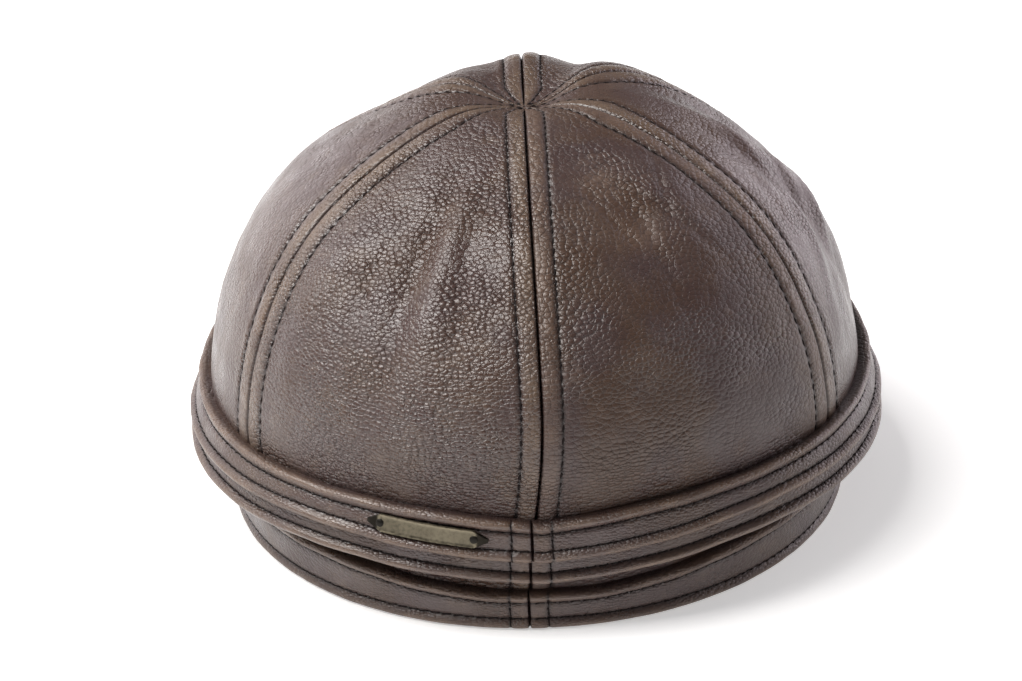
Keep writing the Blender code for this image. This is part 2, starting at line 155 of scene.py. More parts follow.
# Soft unevenness: depth in metres, or as a share where it swells a roll, size in metres along each axis
Wave = namedtuple("Wave", "depth size octaves seed")
SEAM_SWELL = Wave(0.30, (0.012, 0.02, 1.0), 2, 0.0)
SEAM_WRINKLE = Wave(0.00016, (0.0022, 0.006, 1.0), 2, 7.0)
SOFT_WAVE = Wave(0.00055, 0.026, 1, 3.0)
FINE_WAVE = Wave(0.00016, 0.008, 2, 9.0)
HEM_SWELL = Wave(0.10, (0.014, 0.012, 1.0), 2, 2.0)
STRIP_WAVE = Wave(0.00008, (0.007, 0.007, 1.0), 2, 5.0)
EDGE_WAVE = Wave(0.0004, (0.022, 1.0, 1.0), 2, 4.0)
PEAK_WAVE = Wave(0.00016, 0.008, 2, 1.0)

# Fineness of the meshes
PANEL_ROWS = 221
PANEL_MIDDLE_COLUMNS = 42
FLAP_COLUMNS = 250
RIM_COLUMNS = 330
STRIP_MIDDLE_ROWS = 7
PEAK_ROWS = 34
PEAK_COLUMNS = 150
PLATE_ROWS = 19
PLATE_COLUMNS = 91
RIVET_SIDES = 24
RIVET_RINGS = 6
SHARP_ANGLE = 55.0

HALF_WIDTH = HEAD_WIDTH / 2 + LEATHER
HALF_LENGTH = HEAD_LENGTH / 2 + LEATHER
WALL = 2 * LEATHER

# Crown's outline: height as a share of CROWN_HEIGHT, reach as shares of HALF_WIDTH and HALF_LENGTH
Section = namedtuple("Section", "height width length")
CROWN_SECTIONS = (
    Section(0.000, 1.000, 1.000),
    Section(0.100, 1.020, 1.010),
    Section(0.200, 1.052, 1.027),
    Section(0.290, 1.088, 1.044),
    Section(0.410, 1.070, 1.074),
    Section(0.560, 1.004, 1.025),
    Section(0.680, 0.911, 0.919),
    Section(0.770, 0.796, 0.792),
    Section(0.845, 0.644, 0.641),
    Section(0.945, 0.324, 0.330),
    Section(0.986, 0.120, 0.122),
    Section(1.000, 0.004, 0.004),
)

# Relief beside a crown seam: distance as a share of SEAM_MARGIN, height of SEAM_RELIEF_HEIGHT, wear, and
# painted shade that darkens the seam's groove and its stitch line
SeamRelief = namedtuple("SeamRelief", "distance height wear grime")
SEAM_RELIEF = (
    SeamRelief(0.00, -0.85, 0.0, 1.0),
    SeamRelief(0.02, -0.32, 0.0, 0.7),
    SeamRelief(0.06, -0.02, 0.3, 0.2),
    SeamRelief(0.16, 0.16, 0.8, 0.0),
    SeamRelief(0.38, 0.26, 0.9, 0.0),
    SeamRelief(0.62, 0.24, 0.7, 0.0),
    SeamRelief(0.82, 0.08, 0.4, 0.1),
    SeamRelief(0.94, -0.18, 0.1, 0.5),
    SeamRelief(1.00, -0.36, 0.0, 1.0),
    SeamRelief(1.06, -0.20, 0.0, 0.5),
    SeamRelief(1.18, 0.00, 0.1, 0.1),
    SeamRelief(1.50, 0.00, 0.0, 0.0),
)

# Thickness of a strip at its hem: distance as a share of HEM, thickness of WALL, wear, and painted shade that
# darkens the hem's edge and its stitch line
HemRelief = namedtuple("HemRelief", "distance thickness wear grime")
# Its wear column, highest on the roll's crest, is partly real wear and partly a painted highlight along the
# crest
HEM_RELIEF = (
    HemRelief(0.00, 0.30, 0.2, 0.5),
    HemRelief(0.07, 0.66, 0.5, 0.2),
    HemRelief(0.20, 0.98, 0.8, 0.0),
    HemRelief(0.38, 1.16, 0.9, 0.0),
    HemRelief(0.60, 1.12, 0.5, 0.0),
    HemRelief(0.80, 0.90, 0.2, 0.1),
    HemRelief(0.93, 0.70, 0.1, 0.6),
    HemRelief(1.00, 0.60, 0.0, 1.0),
    HemRelief(1.10, 0.68, 0.0, 0.5),
    HemRelief(1.40, 0.80, 0.0, 0.0),
)

# Where the flaps stand off the crown: foot and top as shares of FLAP_FLARE, the lower flap's step out as one
# of WALL. The flaps' rise and their feet's own rise are shares of the upper one's height, and the rim band's
# is one of its own height
Stand = namedtuple("Stand", "azimuth upper_foot upper_top lower_step rise foot_rise rim_rise")
STANDS = (
    Stand(0.0, 0.00, 0.00, -0.50, -0.16, 0.06, 0.00),
    Stand(8.0, 0.08, 0.02, -0.50, -0.04, 0.04, 0.00),
    Stand(18.0, 0.22, 0.03, -0.40, 0.07, 0.05, 0.08),
    Stand(35.0, 0.44, 0.02, -0.25, 0.14, 0.18, 0.28),
    Stand(60.0, 0.60, 0.00, -0.05, 0.13, 0.16, 0.40),
    Stand(90.0, 0.64, 0.00, 0.10, 0.32, 0.00, 0.45),
    Stand(108.0, 0.57, 0.00, 0.08, 0.62, -0.10, 0.45),
    Stand(124.0, 0.44, 0.00, 0.05, 0.85, -0.12, 0.45),
)

# Dents in the crown: azimuth and turn in degrees, climb from 0 at the rim to 1 at the apex, across and along
# as shares of CROWN_HEIGHT, depth as a share of APEX_SINK
Fold = namedtuple("Fold", "azimuth climb across along depth turn")
FOLDS = (
    Fold(29.0, 0.55, 0.10, 0.32, 0.22, 4.0),
    Fold(10.0, 0.62, 0.05, 0.25, 0.12, 0.0),
    Fold(48.0, 0.45, 0.06, 0.25, -0.12, 6.0),
    Fold(140.0, 0.74, 0.20, 0.20, 0.26, 0.0),
    Fold(162.0, 0.86, 0.06, 0.14, 0.24, 12.0),
    Fold(180.0, 0.80, 0.34, 0.20, -0.56, 0.0),
    Fold(205.0, 0.82, 0.07, 0.22, 0.44, -6.0),
    Fold(245.0, 0.74, 0.26, 0.16, -0.24, 0.0),
    Fold(258.0, 0.52, 0.055, 0.38, 0.24, 0.0),
    Fold(268.0, 0.50, 0.050, 0.38, -0.18, 0.0),
    Fold(277.0, 0.50, 0.050, 0.34, 0.22, 0.0),
    Fold(334.0, 0.60, 0.11, 0.26, 0.22, -6.0),
    Fold(318.0, 0.66, 0.07, 0.16, -0.14, 14.0),
)

# Finer creases and ridges, with the same columns
CREASES = (
    Fold(27.0, 0.56, 0.030, 0.24, 0.200, 3.0),
    Fold(15.0, 0.56, 0.026, 0.22, 0.150, 0.0),
    Fold(21.0, 0.54, 0.022, 0.20, -0.080, 2.0),
    Fold(36.0, 0.55, 0.018, 0.18, 0.070, 8.0),
    Fold(281.0, 0.52, 0.021, 0.26, -0.13, 30.0),
    Fold(276.0, 0.50, 0.019, 0.22, 0.10, 34.0),
    Fold(271.0, 0.46, 0.019, 0.20, -0.12, 38.0),
    Fold(287.0, 0.58, 0.026, 0.18, 0.07, 28.0),
    Fold(318.0, 0.68, 0.012, 0.10, 0.110, 30.0),
    Fold(322.0, 0.63, 0.012, 0.12, 0.100, -24.0),
    Fold(330.0, 0.56, 0.014, 0.20, 0.080, 0.0),
    Fold(338.0, 0.66, 0.012, 0.12, 0.070, -20.0),
)

# Rubbed patches, with the same columns, but the depth is a share of full wear
SCUFFS = (
    Fold(335.5, 0.73, 0.070, 0.050, 0.75, 0.0),
    Fold(330.0, 0.61, 0.080, 0.045, 0.60, 20.0),
    Fold(341.0, 0.45, 0.080, 0.060, 0.25, 0.0),
)

# A seam's azimuth at the apex, how far it wanders at mid-height and how far it drifts at the rim, in degrees
Seam = namedtuple("Seam", "azimuth bow drift")
BACK = Seam(0, -0.6, 2.9)
REAR_LEFT = Seam(60, -1.5, -2.5)
FORE_LEFT = Seam(120, 0, 0)
FRONT = Seam(180, 0, 0)
FORE_RIGHT = Seam(240, 0, 0)
REAR_RIGHT = Seam(300, 1.5, 2.5)
BACK_AGAIN = Seam(360, BACK.bow, BACK.drift)
PANELS = {
    "crown_back_left": (BACK, REAR_LEFT),
    "crown_side_left": (REAR_LEFT, FORE_LEFT),
    "crown_front_left": (FORE_LEFT, FRONT),
    "crown_front_right": (FRONT, FORE_RIGHT),
    "crown_side_right": (FORE_RIGHT, REAR_RIGHT),
    "crown_back_right": (REAR_RIGHT, BACK_AGAIN),
}

# Camera: where the photograph was taken from, seen from the crown's middle, and its optical axis in pixels
FRAME_WIDTH = 1022
CAMERA_AZIMUTH = 0.34
CAMERA_ELEVATION = 23.9
CAMERA_ROLL = -2.29
CAMERA_DISTANCE = 0.765
CAMERA_FOCAL = 2581.0
CAMERA_OFFSET_X = 21.8
CAMERA_OFFSET_Y = -14.6
CAMERA_HEIGHT = 0.0459
SENSOR_WIDTH = 36.0

# Studio lights, aimed at the crown: place in degrees and metres, size in metres, power in watts
Light = namedtuple("Light", "name azimuth elevation distance size power color")
LIGHTS = (
    Light("box_left", 85.0, 58.0, 1.1, (0.8, 0.8), 19.0, (1.0, 0.98, 0.96)),
    Light("card_left", 140.0, 12.0, 1.6, (1.5, 1.0), 7.0, (1.0, 0.93, 0.95)),
    Light("card_right", -126.0, 12.0, 1.6, (1.7, 1.0), 11.0, (1.0, 0.88, 0.94)),
)
SURROUND_COLOR = (1.0, 0.985, 0.99, 1.0)
SURROUND_STRENGTH = 0.17
FLOOR_HALF_SIZE = 60.0
FLOOR_TONES = ((0.90, 0.90, 0.90), (0.93, 0.93, 0.93))
FLOOR_CLOUD = 1 / 3
FLOOR_GLOW = (0.42, 1.0)
FLOOR_GLOW_REACH = (0.7, 1.4)

# A leather's colours, from the painted shade of its creases, grooves and stitch lines up to the worn ridges,
# its grain's size and depth in metres, how rough it is and the share of warmer dye in its clouds
Look = namedtuple("Look", "deep plain warm worn grain depth roughness mottle")
CROWN_LOOK = Look(
    deep=(0.010, 0.005, 0.005),
    plain=(0.062, 0.034, 0.029),
    warm=(0.072, 0.039, 0.024),
    worn=(0.140, 0.092, 0.062),
    grain=0.0016,
    depth=0.00048,
    roughness=0.29,
    mottle=0.6,
)
RIGHT_LOOK = Look(
    deep=(0.010, 0.005, 0.004),
    plain=(0.050, 0.025, 0.022),
    warm=(0.062, 0.030, 0.016),
    worn=(0.125, 0.076, 0.052),
    grain=0.0017,
    depth=0.00036,
    roughness=0.46,
    mottle=0.9,
)
# Its worn colour is partly real wear and partly a painted highlight on the hems' crests
STRIP_LOOK = Look(
    deep=(0.012, 0.006, 0.006),
    plain=(0.070, 0.042, 0.038),
    warm=(0.080, 0.047, 0.032),
    worn=(0.160, 0.102, 0.069),
    grain=0.0012,
    depth=0.00024,
    roughness=0.37,
    mottle=0.7,
)
SIDE_LOOK = CROWN_LOOK._replace(depth=0.00026, roughness=0.33)

# A metal's colours in its recesses and where it is rubbed, how rough it is and its dents' depth in metres
Metal = namedtuple("Metal", "dark bright roughness dents")
BRASS = Metal((0.018, 0.015, 0.011), (0.27, 0.235, 0.165), 0.40, 0.00004)
BLACKENED = Metal((0.010, 0.009, 0.008), (0.05, 0.045, 0.035), 0.45, 0.00003)

# Clouds in a surface: size in metres, detail, and the noise where they start and where they are full
Cloud = namedtuple("Cloud", "size detail start full")
SMOOTH_CLOUDS = Cloud(0.016, 2.0, 0.35, 0.68)
DYE_CLOUDS = Cloud(0.022, 4.0, 0.40, 0.62)
PALE_CLOUDS = Cloud(0.006, 5.0, 0.52, 0.75)
RUB_CLOUDS = Cloud(0.009, 4.0, 0.30, 0.66)
GLOSS_CLOUDS = Cloud(0.010, 3.0, 0.30, 0.70)
METAL_CLOUDS = Cloud(0.006, 3.0, 0.30, 0.70)

# Sizes of what shows in the leather and metal, in metres or in pebbles, and how strongly each shows
GRAIN_PUSH = 0.0006
GRAIN_PUSH_CLOUD = 2.5
GRAIN_FLATTENING = 1.6
GRAIN_DISORDER = 0.9
CREASE_WIDTH = 0.14
CREASE_HEIGHT = 0.25
CREASE_SHADE_WIDTH = 0.10
CREASE_SHADE = 0.32
CREASE_GLOSS = -0.06
PEBBLE_SLUMP = 1.3
PEBBLE_LEAST = 0.35
PORE = 0.0004
PORE_HEIGHT = 0.35
PALE_SHARE = 0.30
RUB_LEAST = 0.35
# How far the painted shade of grooves, hem edges and stitch lines darkens the leather
PAINTED_SHADE_STRENGTH = 0.95
GLOSS_SPREAD = (-0.05, 0.08)
LEATHER_SPECULAR = 0.70
NAP = 0.0007
NAP_DEPTH = 0.0002
NAP_SHARE = 0.6
NAP_CLOUD = 0.012
NAP_CLOUD_SHARE = 0.5
FLESH_COLORS = ((0.045, 0.030, 0.022), (0.13, 0.090, 0.065))
THREAD_PLY = 0.0003
THREAD_RELIEF = 0.0001
THREAD_COLORS = ((0.004, 0.003, 0.003), (0.018, 0.011, 0.010))
METAL_SPECK = 0.0009
METAL_GLOSS_SPREAD = (-0.08, 0.12)
METALLIC = 0.85
RIVET_WEAR = 0.35


def smooth_step(share):
    share = np.clip(share, 0.0, 1.0)
    return share * share * (3 - 2 * share)


def through(knots, values, at):
    """Cubic curve through values at knots, with each knot's slope taken from its neighbours."""
    knots, values = np.asarray(knots, float), np.asarray(values, float)
    slopes = np.gradient(values, knots)
    at = np.clip(at, knots[0], knots[-1])
    low = np.clip(np.searchsorted(knots, at, side="right") - 1, 0, len(knots) - 2)
    width = knots[low + 1] - knots[low]
    t = (at - knots[low]) / width
    return (
        (1 + 2 * t) * (1 - t) ** 2 * values[low]
        + t * (1 - t) ** 2 * width * slopes[low]
        + t**2 * (3 - 2 * t) * values[low + 1]
        + t**2 * (t - 1) * width * slopes[low + 1]
    )


def column(table, name):
    return np.array([getattr(row, name) for row in table], float)


def relief(table, name, distance):
    return through(column(table, "distance"), column(table, name), distance)


CLIMB_STEPS = np.hypot(
    np.diff(column(CROWN_SECTIONS, "width")) * HALF_WIDTH,
    np.diff(column(CROWN_SECTIONS, "height")) * CROWN_HEIGHT,
)
CLIMB_LENGTH = CLIMB_STEPS.sum()
CLIMB_KNOTS = np.concatenate([[0.0], np.cumsum(CLIMB_STEPS)]) / CLIMB_LENGTH
NO_DENTS_BELOW = CLIMB_KNOTS[3]
FULL_DENTS_ABOVE = CLIMB_KNOTS[5]


def section(name, climb):
    """A column of the crown's sections at climb, 0 at the rim to 1 at the apex."""
    return through(CLIMB_KNOTS, column(CROWN_SECTIONS, name), climb)


def turn_from_back(azimuth):
    """Degrees from the back centre, 0 to 180, on either side."""
    return np.degrees(np.abs(np.angle(np.exp(1j * azimuth))))


def lifted(azimuth, height):
    """Height above the floor, with the rim's front raised to where the peak springs from."""
    share = smooth_step((turn_from_back(azimuth) - FLAP_END) / (180 - FLAP_END))
    fade = np.clip(1 - height / LIFT_FADE, 0, 1) ** 2
    return height + FRONT_LIFT * share * fade


def seam_azimuth(seam, height):
    drift = seam.drift * smooth_step((DRIFT_HEIGHT - height) / DRIFT_HEIGHT)
    bow = seam.bow * np.sin(math.pi * np.clip(height / CROWN_HEIGHT, 0, 1))
    return np.radians(seam.azimuth + bow + drift)


def arc_per_radian(azimuth, climb):
    return np.hypot(
        HALF_WIDTH * section("width", climb) * np.cos(azimuth),
        HALF_LENGTH * section("length", climb) * np.sin(azimuth),
    )


def crown_bulge(azimuth, height):
    """The offset past the rim's outline that clears the crown, at a height up to its widest place."""
    heights = RIM_STEP + (CROWN_HEIGHT - RIM_STEP) * column(CROWN_SECTIONS, "height")
    wide = through(heights, (column(CROWN_SECTIONS, "width") - 1) * HALF_WIDTH, height)
    long = through(heights, (column(CROWN_SECTIONS, "length") - 1) * HALF_LENGTH, height)
    return wide * np.sin(azimuth) ** 2 + long * np.cos(azimuth) ** 2 + SEAM_PUFF + GAP


def stand(name, azimuth):
    return through(column(STANDS, "azimuth"), column(STANDS, name), turn_from_back(azimuth))


# A strip's inner face, as a straight line in each section: offsets past the rim's outline, and heights
Line = namedtuple("Line", "foot foot_height top top_height")


def rim_band_line(azimuth):
    top = RIM_BAND_HEIGHT * (1 + stand("rim_rise", azimuth))
    return Line(crown_bulge(azimuth, 0.0), 0 * azimuth, crown_bulge(azimuth, top), top)


def upper_flap_line(azimuth):
    rise = stand("rise", azimuth) * (UPPER_FLAP_TOP - UPPER_FLAP_FOOT)
    foot_rise = rise + stand("foot_rise", azimuth) * (UPPER_FLAP_TOP - UPPER_FLAP_FOOT)
    stack = crown_bulge(azimuth, UPPER_FLAP_FOOT) + WALL * PLAIN_THICKNESS + GAP + FLAP_SLACK
    return Line(
        stack + stand("upper_foot", azimuth) * FLAP_FLARE,
        UPPER_FLAP_FOOT + foot_rise,
        crown_bulge(azimuth, UPPER_FLAP_TOP + rise) + stand("upper_top", azimuth) * FLAP_FLARE,
        UPPER_FLAP_TOP + rise,
    )


def lower_flap_line(azimuth):
    """The lower flap's top tucks up behind the upper flap's foot."""
    upper = upper_flap_line(azimuth)
    rise = upper.foot_height - UPPER_FLAP_FOOT
    slope = (upper.top - upper.foot) / (upper.top_height - upper.foot_height)
    overlap = LOWER_FLAP_TOP - UPPER_FLAP_FOOT
    slant = np.hypot(1.0, slope)
    behind = upper.foot + slope * overlap - TUCK_CLEARANCE - WALL * PLAIN_THICKNESS * slant
    return Line(
        upper.foot + stand("lower_step", azimuth) * WALL,
        LOWER_FLAP_FOOT + rise,
        behind,
        LOWER_FLAP_TOP + rise,
    )


def peak_root(azimuth):
    """The offset past the rim's outline where the peak meets the rim band."""
    band = rim_band_line(azimuth)
    slope = (band.top - band.foot) / (band.top_height - band.foot_height)
    roll = WALL * 1.10 * np.hypot(1.0, slope)
    return band.foot + slope * (PEAK_SEAT + PEAK_THICKNESS) + roll + GAP


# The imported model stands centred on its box, so its peak's tip tells how far the crown's middle is from there
MIDDLE_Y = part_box("peak")[0][1] + HALF_LENGTH + float(peak_root(np.array(math.pi))) + PEAK_REACH


def placed(x, y, z):
    return np.stack(np.broadcast_arrays(x, y + MIDDLE_Y, z), -1)


def smooth_crown(azimuth, climb):
    """The crown's outer face with its sunken apex, before dents and seams."""
    x = HALF_WIDTH * section("width", climb) * np.sin(azimuth)
    y = HALF_LENGTH * section("length", climb) * np.cos(azimuth)
    z = lifted(azimuth, RIM_STEP + (CROWN_HEIGHT - RIM_STEP) * section("height", climb))
    z = z - APEX_SINK * np.exp(-((np.hypot(x, y) / APEX_SPREAD) ** 2))
    return placed(x, y, z)


def outward(surface, first, second, step=1e-3):
    """Unit normals of a surface of two parameters, from differences."""
    across = surface(first + step, second) - surface(first - step, second)
    along = surface(first, second + step) - surface(first, second - step)
    return unit(np.cross(along, across))


def dent_depth(folds, azimuth, climb):
    depth = np.zeros(np.broadcast(azimuth, climb).shape)
    for fold in folds:
        away = np.angle(np.exp(1j * (azimuth - math.radians(fold.azimuth))))
        side = away * arc_per_radian(azimuth, climb)
        rise = (climb - fold.climb) * CLIMB_LENGTH
        cos, sin = math.cos(math.radians(fold.turn)), math.sin(math.radians(fold.turn))
        u = (cos * side + sin * rise) / (fold.across * CROWN_HEIGHT)
        v = (cos * rise - sin * side) / (fold.along * CROWN_HEIGHT)
        depth = depth + fold.depth * APEX_SINK * np.exp(-(u**2) - v**2)
    return depth * smooth_step((climb - NO_DENTS_BELOW) / (FULL_DENTS_ABOVE - NO_DENTS_BELOW))


def uneven(points, wave):
    """Smooth noise at each point, of about the wave's depth to either side."""
    scaled = points.reshape(-1, 3) / np.asarray(wave.size, float) + wave.seed
    found = [noise.fractal(Vector(p), 1.0, 2.0, wave.octaves) for p in scaled.tolist()]
    return wave.depth * np.array(found).reshape(points.shape[:-1])


def bump_curve(share, width):
    return np.exp(-((share / width) ** 2))


def unit(vectors):
    return vectors / np.maximum(np.linalg.norm(vectors, axis=-1, keepdims=True), 1e-12)


def ring_angles(sides):
    return np.linspace(0, 2 * math.pi, sides, endpoint=False)


def new_object(name, points, faces, looks):
    """A smoothly shaded mesh object of its own."""
    mesh = bpy.data.meshes.new(name)
    mesh.from_pydata(points, [], faces)
    for look in looks:
        mesh.materials.append(look)
    mesh.shade_smooth()
    obj = bpy.data.objects.new(name, mesh)
    bpy.context.scene.collection.objects.link(obj)
    return obj


def keep_at_points(obj, label, values):
    """Values that the materials read by their label."""
    layer = obj.data.attributes.new(label, "FLOAT", "POINT")
    layer.data.foreach_set("value", values.astype(np.float32))


def tube_sides(rings, sides, base=0):
    """Quads between neighbouring rings of points that are numbered from base, ring after ring."""
    faces = []
    for ring in range(rings - 1):
        for here in range(sides):
            there = (here + 1) % sides
            low, high = base + ring * sides, base + (ring + 1) * sides
            faces.append((low + here, low + there, high + there, high + here))
    return faces


def shell(name, outer, inner, wear, grime, looks):
    """One closed piece between two grids of points. Rows run up and columns toward growing azimuth.

    looks are the materials of its outer and its inner face. wear and painted shade are kept at each outer
    point.
    """
    rows, columns = outer.shape[:2]
    count = rows * columns
    index = np.arange(count).reshape(rows, columns)
    quads = np.stack([index[:-1, :-1], index[1:, :-1], index[1:, 1:], index[:-1, 1:]], -1).reshape(-1, 4)
    ring = np.concatenate([index[0, :-1], index[:-1, -1], index[-1, :0:-1], index[:0:-1, 0]])
    following = np.roll(ring, -1)
    walls = np.stack([ring, following, following + count, ring + count], -1)
    faces = np.concatenate([quads, quads[:, ::-1] + count, walls])

    points = np.concatenate([outer.reshape(-1, 3), inner.reshape(-1, 3)])
    obj = new_object(name, points.tolist(), faces.tolist(), looks)
    is_inner = np.zeros(len(faces), np.int32)
    is_inner[len(quads) : 2 * len(quads)] = len(looks) - 1
    obj.data.polygons.foreach_set("material_index", is_inner)
    for label, values in (("wear", wear), ("grime", grime)):
        flat = np.broadcast_to(values, (rows, columns)).reshape(-1)
        keep_at_points(obj, label, np.concatenate([flat, 0 * flat]))
    obj.data.set_sharp_from_angle(angle=math.radians(SHARP_ANGLE))
    return obj


def install(piece, slot, *nodes):
    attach(piece, "root")
    if nodes:
        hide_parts(*nodes)
    return piece


def add(tree, kind, inputs, **settings):
    """A shader node. An input is a plain value or another node's output."""
    made = tree.nodes.new("ShaderNode" + kind)
    for name, value in settings.items():
        setattr(made, name, value)
    for name, value in inputs.items():
        if isinstance(value, bpy.types.NodeSocket):
            tree.links.new(value, made.inputs[name])
        else:
            made.inputs[name].default_value = value
    return made


def arithmetic(tree, operation, first, second=0.0):
    return add(tree, "Math", {0: first, 1: second}, operation=operation).outputs[0]


def ramp(tree, value, low, high, to_low=0.0, to_high=1.0):
    """value from low to high turned smoothly into to_low to to_high."""
    spread = {"Value": value, "From Min": low, "From Max": high, "To Min": to_low, "To Max": to_high}
    return add(tree, "MapRange", spread, interpolation_type="SMOOTHSTEP").outputs[0]


def blended(tree, share, first, second):
    made = add(tree, "Mix", {0: share}, data_type="RGBA")
    for socket, value in ((made.inputs[6], first), (made.inputs[7], second)):
        if isinstance(value, bpy.types.NodeSocket):
            tree.links.new(value, socket)
        else:
            socket.default_value = (*value, 1.0)
    return made.outputs[2]


def new_material(name):
    made = bpy.data.materials.new(name)
    made.use_nodes = True
    tree = made.node_tree
    return made, tree, tree.nodes["Principled BSDF"]


def clouds(tree, size, detail=2.0, wanted="Fac"):
    """Soft noise with patches of about this size in metres, fixed to the piece."""
    place = add(tree, "TexCoord", {}).outputs["Object"]
    return add(tree, "TexNoise", {"Vector": place, "Scale": 1 / size, "Detail": detail}).outputs[wanted]


def cloudy(tree, cloud, least=0.0, most=1.0):
    """A value that runs from least to most in clouds."""
    return ramp(tree, clouds(tree, cloud.size, cloud.detail), cloud.start, cloud.full, least, most)


def kept_value(tree, label):
    """What keep_at_points stored under the label."""
    return add(tree, "Attribute", {}, attribute_name=label).outputs["Fac"]


def raise_by(tree, shader, height, depth, strength=1.0):
    """Bumps the shader's normal by height times depth in metres."""
    bump = add(tree, "Bump", {"Strength": strength, "Distance": depth, "Height": height})
    tree.links.new(bump.outputs["Normal"], shader.inputs["Normal"])


def grain(tree, size):
    """The leather's pebbles, as each point's distances from its pebble's middle and from its edge."""
    place = add(tree, "TexCoord", {}).outputs["Object"]
    push = clouds(tree, GRAIN_PUSH_CLOUD * size, wanted="Color")
    pushed = add(tree, "MixRGB", {0: GRAIN_PUSH, 1: place, 2: push}, blend_type="ADD").outputs[0]
    flattened = add(tree, "Mapping", {"Vector": pushed, "Scale": (1.0, 1.0, GRAIN_FLATTENING)}).outputs[0]
    cell = {"Vector": flattened, "Scale": 1 / size, "Randomness": GRAIN_DISORDER}
    middle = add(tree, "TexVoronoi", cell, feature="F1").outputs["Distance"]
    return middle, add(tree, "TexVoronoi", cell, feature="DISTANCE_TO_EDGE").outputs["Distance"]


def leather(name, look):
    """Pebbled leather, paler where the points say it is worn, with painted shade in its creases, grooves and
    stitch lines.
    """
    made, tree, shader = new_material(name)

    def times(first, second):
        return arithmetic(tree, "MULTIPLY", first, second)

    middle, edge = grain(tree, look.grain)
    crease = ramp(tree, edge, 0.0, CREASE_WIDTH)
    slump = times(times(middle, middle), PEBBLE_SLUMP)
    pebble = arithmetic(tree, "SUBTRACT", times(crease, CREASE_HEIGHT), slump)
    pebble = times(pebble, cloudy(tree, SMOOTH_CLOUDS, PEBBLE_LEAST))
    pores = times(clouds(tree, PORE), PORE_HEIGHT)
    raise_by(tree, shader, arithmetic(tree, "ADD", pebble, pores), look.depth)

    # Colour: warmer and paler clouds, worn rolls, painted shade in the grain's creases, and painted shade in
    # grooves and stitch lines
    color = blended(tree, cloudy(tree, DYE_CLOUDS, 0.0, look.mottle), look.plain, look.warm)
    color = blended(tree, cloudy(tree, PALE_CLOUDS, 0.0, PALE_SHARE), color, look.worn)
    rub = times(kept_value(tree, "wear"), cloudy(tree, RUB_CLOUDS, RUB_LEAST))
    color = blended(tree, rub, color, look.worn)
    # Painted shade: the grain's creases are darkened toward the deep colour
    shade = times(ramp(tree, edge, 0.0, CREASE_SHADE_WIDTH, 1.0, 0.0), CREASE_SHADE)
    color = blended(tree, shade, color, look.deep)
    # Painted shade in seam grooves, hem edges and stitch lines, from the values kept at the points
    color = blended(tree, times(kept_value(tree, "grime"), PAINTED_SHADE_STRENGTH), color, look.deep)
    tree.links.new(color, shader.inputs["Base Color"])

    rough = cloudy(tree, GLOSS_CLOUDS, *(look.roughness + change for change in GLOSS_SPREAD))
    rough = arithmetic(tree, "ADD", rough, times(crease, CREASE_GLOSS))
    tree.links.new(rough, shader.inputs["Roughness"])
    shader.inputs["Specular IOR Level"].default_value = LEATHER_SPECULAR
    return made


def flesh_side():
    """The leather's inner face: napped, lighter and matt."""
    made, tree, shader = new_material("flesh_side")
    nap = clouds(tree, NAP, 4.0)
    patches = clouds(tree, NAP_CLOUD, 3.0)
    pale = arithmetic(tree, "MULTIPLY", nap, NAP_SHARE)
    pale = arithmetic(tree, "ADD", pale, arithmetic(tree, "MULTIPLY", patches, NAP_CLOUD_SHARE))
    tree.links.new(blended(tree, pale, *FLESH_COLORS), shader.inputs["Base Color"])
    raise_by(tree, shader, nap, NAP_DEPTH, 0.7)
    shader.inputs["Roughness"].default_value = 0.92
    return made


def metal(name, look):
    """Dulled metal, bright where it is raised and rubbed, dark in its recesses."""
    made, tree, shader = new_material(name)
    specks = clouds(tree, METAL_SPECK, 5.0)
    rubbed = arithmetic(tree, "MULTIPLY", kept_value(tree, "wear"), ramp(tree, specks, 0.25, 0.65, 0.55, 1.0))
    rubbed = arithmetic(tree, "MULTIPLY", rubbed, cloudy(tree, METAL_CLOUDS, 0.8))
    tree.links.new(blended(tree, rubbed, look.dark, look.bright), shader.inputs["Base Color"])
    rough = ramp(tree, specks, 0.3, 0.7, *(look.roughness + change for change in METAL_GLOSS_SPREAD))
    tree.links.new(rough, shader.inputs["Roughness"])
    raise_by(tree, shader, specks, look.dents, 0.6)
    shader.inputs["Metallic"].default_value = METALLIC
    return made


def thread():
    """Dark waxed thread with the turns of its plies."""
    made, tree, shader = new_material("thread")
    plies = clouds(tree, THREAD_PLY)
    tree.links.new(blended(tree, plies, *THREAD_COLORS), shader.inputs["Base Color"])
    raise_by(tree, shader, plies, THREAD_RELIEF, 0.6)
    shader.inputs["Roughness"].default_value = 0.85
    shader.inputs["Specular IOR Level"].default_value = 0.2
    return made


def seam_distances():
    """Columns beside a seam as shares of SEAM_MARGIN, and the column that the stitches follow."""
    roll, ridge, beyond = np.linspace(0.0, 0.30, 6), np.linspace(0.30, 1.0, 11), np.linspace(1.0, 1.5, 7)
    shares = np.concatenate([roll, ridge[1:], beyond[1:]])
    return shares, int(np.argmin(np.abs(shares - 1.0)))


